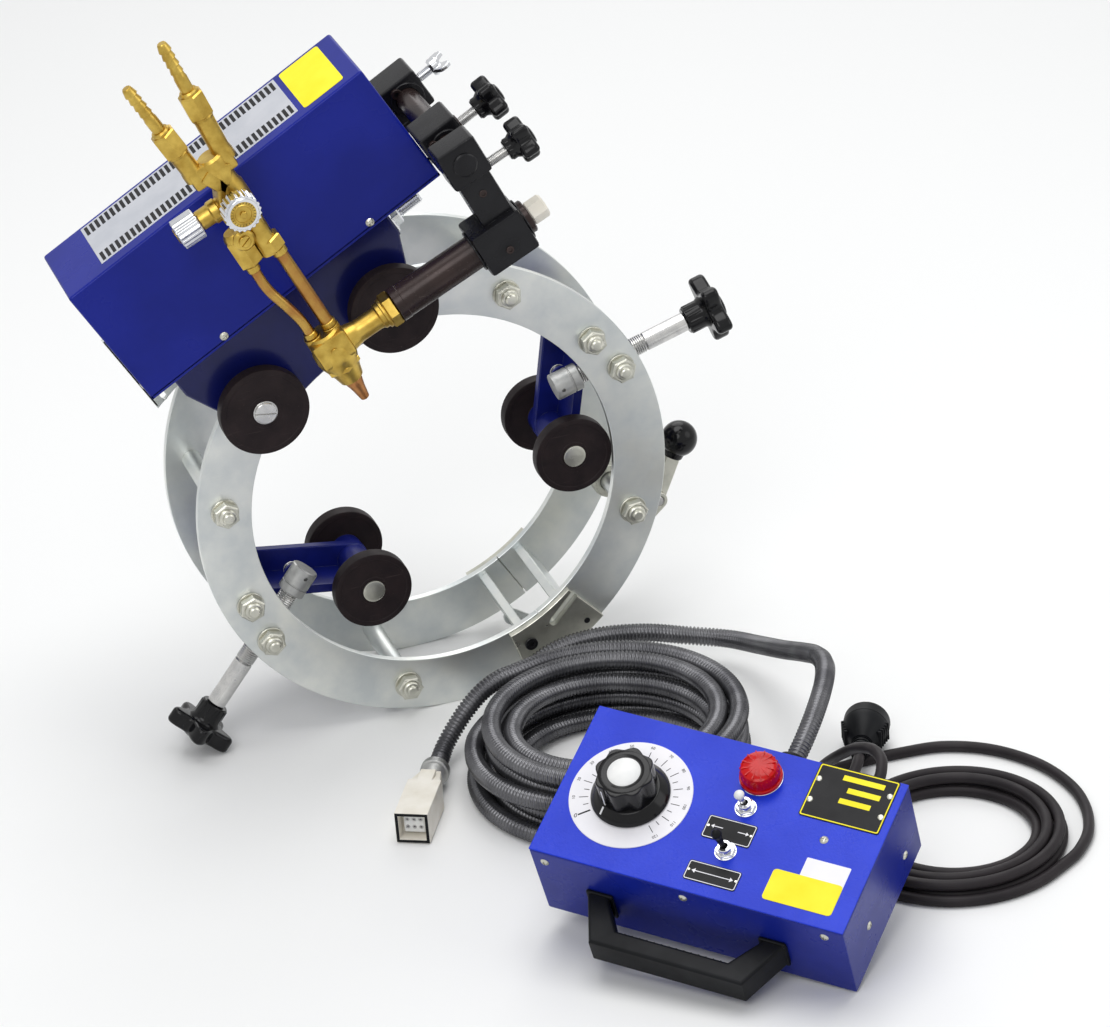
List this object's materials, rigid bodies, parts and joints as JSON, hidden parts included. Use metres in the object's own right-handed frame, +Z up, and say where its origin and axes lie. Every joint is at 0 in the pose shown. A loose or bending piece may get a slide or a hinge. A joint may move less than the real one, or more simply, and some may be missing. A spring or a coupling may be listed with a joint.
{
  "type": "gas pipe cutting machine",
  "caption": "Split ring carriage with screw-set roller arms and a geared drive unit, a clamped gas torch, and a separate control box with hose and mains cable.",
  "frame": {"origin": "centre of the box round the machine and the control box without their cords, on the surface that they stand on", "axes": "+X to the right in the front view, +Y away from the torch along the ring's axis, +Z up"},
  "size_m": [0.6895, 0.7205, 0.6609],
  "materials": {
    "zinc_steel": "satin zinc plate with fine grinding marks",
    "navy_enamel": "semi-gloss enamel in shade of the cover",
    "blue_enamel": "semi-gloss royal blue enamel",
    "bright_steel": "turned bright steel",
    "chrome": "bright nickel plate",
    "cast_aluminium": "bare casting",
    "roller_rubber": "brown-black moulded rubber",
    "black_plastic": "glossy moulding",
    "black_metal": "black semi-gloss",
    "dark_metal": "blackened steel bar",
    "brass": "polished brass",
    "copper": "drawn copper",
    "red_lens": "clear red faceted lens",
    "hose_grey": "ribbed grey conduit",
    "cable_black": "black rubber sheath",
    "cream_plastic": "cream moulding"
  },
  "bodies": {
    "machine": {"front_plate_upper": "zinc_steel", "rear_frame_upper": "zinc_steel", "drive_base": "navy_enamel", "drive_cover": "blue_enamel", "rear_bracket": "zinc_steel", "gear_motor": "cast_aluminium", "motor_socket": "chrome", "holder_bracket": "black_metal", "control_housing": "blue_enamel", "control_panel": "blue_enamel", "pilot_lamp": "red_lens", "carry_handle": "black_plastic", "hose_coil": "hose_grey", "hose_run": "hose_grey", "hose_tail": "hose_grey", "hose_connector": "cream_plastic", "cable_coil": "cable_black", "cable_run": "cable_black", "cable_tail": "cable_black", "mains_plug": "cable_black"},
    "lower_half": {"front_plate_lower": "zinc_steel", "rear_frame_lower": "zinc_steel", "splice_plate": "zinc_steel"},
    "left_drive": {"left_drive_axle": "bright_steel", "left_drive_wheel": "roller_rubber"},
    "right_drive": {"right_drive_axle": "bright_steel", "right_drive_wheel": "roller_rubber"},
    "gear": {"central_gear": "bright_steel"},
    "left_arm_body": {"left_arm": "blue_enamel"},
    "left_roller_pair": {"left_rollers": "roller_rubber"},
    "left_trunnion_body": {"left_trunnion": "bright_steel"},
    "left_collar": {"left_thrust_collar": "bright_steel"},
    "left_screw": {"left_spindle": "bright_steel", "left_star_knob": "black_plastic"},
    "right_arm_body": {"right_arm": "blue_enamel"},
    "right_roller_pair": {"right_rollers": "roller_rubber"},
    "right_trunnion_body": {"right_trunnion": "bright_steel"},
    "right_collar": {"right_thrust_collar": "bright_steel"},
    "right_screw": {"right_spindle": "bright_steel", "right_star_knob": "black_plastic"},
    "lever": {"latch_lever": "bright_steel", "latch_ball": "black_plastic"},
    "hook": {"latch_hook": "zinc_steel"},
    "bar": {"cross_bar": "dark_metal", "angle_clamp": "black_metal"},
    "wing": {"wing_screw": "chrome"},
    "swivel": {"swivel_clamp": "black_metal"},
    "swivel_knob_body": {"swivel_knob": "black_plastic"},
    "angle_knob_body": {"angle_knob": "black_plastic"},
    "torch": {"torch_bar": "dark_metal", "torch_head": "brass", "torch_nozzle": "copper", "straight_pipe": "copper", "bent_pipe": "copper", "torch_body": "brass"},
    "front_valve": {"front_valve_knob": "chrome"},
    "side_valve": {"side_valve_knob": "chrome"},
    "dial": {"speed_knob": "black_plastic"},
    "power_switch": {"power_toggle": "bright_steel"},
    "direction_switch": {"direction_toggle": "bright_steel"}
  },
  "joints": [
    {"name": "ring_opening", "type": "hinge", "parent": "machine", "child": "lower_half", "pos_m": [-0.14677, 0.2094, 0.28848], "axis": [0, 1, 0], "range_deg": [0, 60]},
    {"name": "gear_turn", "type": "hinge", "parent": "machine", "child": "gear", "pos_m": [-0.08711, 0.2774, 0.36926], "axis": [0, 1, 0], "continuous": true},
    {"name": "left_wheel_turn", "type": "hinge", "parent": "machine", "child": "left_drive", "pos_m": [-0.13403, 0.2094, 0.3199], "axis": [0, 1, 0], "continuous": true},
    {"name": "right_wheel_turn", "type": "hinge", "parent": "machine", "child": "right_drive", "pos_m": [-0.02044, 0.2094, 0.38312], "axis": [0, 1, 0], "continuous": true},
    {"name": "left_arm_swing", "type": "hinge", "parent": "lower_half", "child": "left_arm_body", "pos_m": [-0.15736, 0.2094, 0.13322], "axis": [0, 1, 0], "range_deg": [-15, 15]},
    {"name": "left_roller_turn", "type": "hinge", "parent": "left_arm_body", "child": "left_roller_pair", "pos_m": [-0.05115, 0.2094, 0.11659], "axis": [0, 1, 0], "continuous": true},
    {"name": "left_trunnion_turn", "type": "hinge", "parent": "lower_half", "child": "left_trunnion_body", "pos_m": [-0.14394, 0.2094, 0.09774], "axis": [0, 1, 0], "range_deg": [-11, 11]},
    {"name": "left_collar_slide", "type": "slide", "parent": "left_trunnion_body", "child": "left_collar", "axis": [0.6431, 0, 0.7658], "range_m": [-0.01, 0.01]},
    {"name": "left_screw_turn", "type": "hinge", "parent": "left_collar", "child": "left_screw", "pos_m": [-0.11128, 0.2284, 0.13663], "axis": [-0.6431, 0, -0.7658], "continuous": true},
    {"name": "right_arm_swing", "type": "hinge", "parent": "machine", "child": "right_arm_body", "pos_m": [0.15052, 0.2094, 0.30458], "axis": [0, 1, 0], "range_deg": [-15, 15]},
    {"name": "right_roller_turn", "type": "hinge", "parent": "right_arm_body", "child": "right_roller_pair", "pos_m": [0.13056, 0.2094, 0.19895], "axis": [0, 1, 0], "continuous": true},
    {"name": "right_trunnion_turn", "type": "hinge", "parent": "machine", "child": "right_trunnion_body", "pos_m": [0.1736, 0.2094, 0.27448], "axis": [0, 1, 0], "range_deg": [-11, 11]},
    {"name": "right_collar_slide", "type": "slide", "parent": "right_trunnion_body", "child": "right_collar", "axis": [-0.9601, 0, -0.2797], "range_m": [-0.01, 0.01]},
    {"name": "right_screw_turn", "type": "hinge", "parent": "right_collar", "child": "right_screw", "pos_m": [0.13185, 0.2284, 0.26231], "axis": [0.9601, 0, 0.2797], "continuous": true},
    {"name": "latch_lever_turn", "type": "hinge", "parent": "machine", "child": "lever", "pos_m": [0.175, 0.2094, 0.1425], "axis": [0, 1, 0], "range_deg": [0, 30]},
    {"name": "latch_hook_turn", "type": "hinge", "parent": "lever", "child": "hook", "pos_m": [0.2149, 0.2094, 0.1165], "axis": [0, 1, 0], "range_deg": [-45, 0]},
    {"name": "cross_bar_slide", "type": "slide", "parent": "machine", "child": "bar", "axis": [0, 1, 0], "range_m": [-0.01, 0.025]},
    {"name": "wing_screw_turn", "type": "hinge", "parent": "machine", "child": "wing", "pos_m": [0.0449, 0.2777, 0.53], "axis": [0.8738, 0, 0.4863], "continuous": true},
    {"name": "swivel_turn", "type": "hinge", "parent": "bar", "child": "swivel", "pos_m": [0.0296, 0.1244, 0.5215], "axis": [0, 1, 0], "range_deg": [-30, 30]},
    {"name": "torch_bar_slide", "type": "slide", "parent": "swivel", "child": "torch", "axis": [0.907, 0, 0.421], "range_m": [-0.003, 0.055]},
    {"name": "swivel_knob_turn", "type": "hinge", "parent": "swivel", "child": "swivel_knob_body", "pos_m": [0.0669, 0.1244, 0.5201], "axis": [0.907, 0, 0.421], "continuous": true},
    {"name": "angle_knob_turn", "type": "hinge", "parent": "bar", "child": "angle_knob_body", "pos_m": [0.0588, 0.1724, 0.5378], "axis": [0.8738, 0, 0.4863], "continuous": true},
    {"name": "front_valve_turn", "type": "hinge", "parent": "torch", "child": "front_valve", "pos_m": [-0.1511, 0.1071, 0.5259], "axis": [0, -1, 0], "continuous": true},
    {"name": "side_valve_turn", "type": "hinge", "parent": "torch", "child": "side_valve", "pos_m": [-0.1785, 0.1244, 0.5131], "axis": [-0.907, 0, -0.421], "continuous": true},
    {"name": "dial_turn", "type": "hinge", "parent": "machine", "child": "dial", "pos_m": [0.031, -0.1801, 0.1194], "axis": [-0.2426, -0.3433, 0.9074], "range_deg": [-270, 0]},
    {"name": "power_throw", "type": "hinge", "parent": "machine", "child": "power_switch", "pos_m": [0.1025, -0.2338, 0.1192], "axis": [0.6672, 0.62, 0.4129], "range_deg": [0, 22]},
    {"name": "direction_throw", "type": "hinge", "parent": "machine", "child": "direction_switch", "pos_m": [0.0759, -0.2585, 0.1027], "axis": [0.6672, 0.62, 0.4129], "range_deg": [0, 22]}
  ],
  "couplings": [
    {"joint": "left_wheel_turn", "follows": "gear_turn", "ratio": -1.25},
    {"joint": "right_wheel_turn", "follows": "gear_turn", "ratio": -1.25},
    {"joint": "left_trunnion_turn", "follows": "left_arm_swing", "ratio": 0.638},
    {"joint": "left_collar_slide", "follows": "left_arm_swing", "m_per_rad": -0.03302},
    {"joint": "right_trunnion_turn", "follows": "right_arm_swing", "ratio": 0.69},
    {"joint": "right_collar_slide", "follows": "right_arm_swing", "m_per_rad": 0.03527},
    {"joint": "latch_hook_turn", "follows": "latch_lever_turn", "ratio": -1.45}
  ]
}
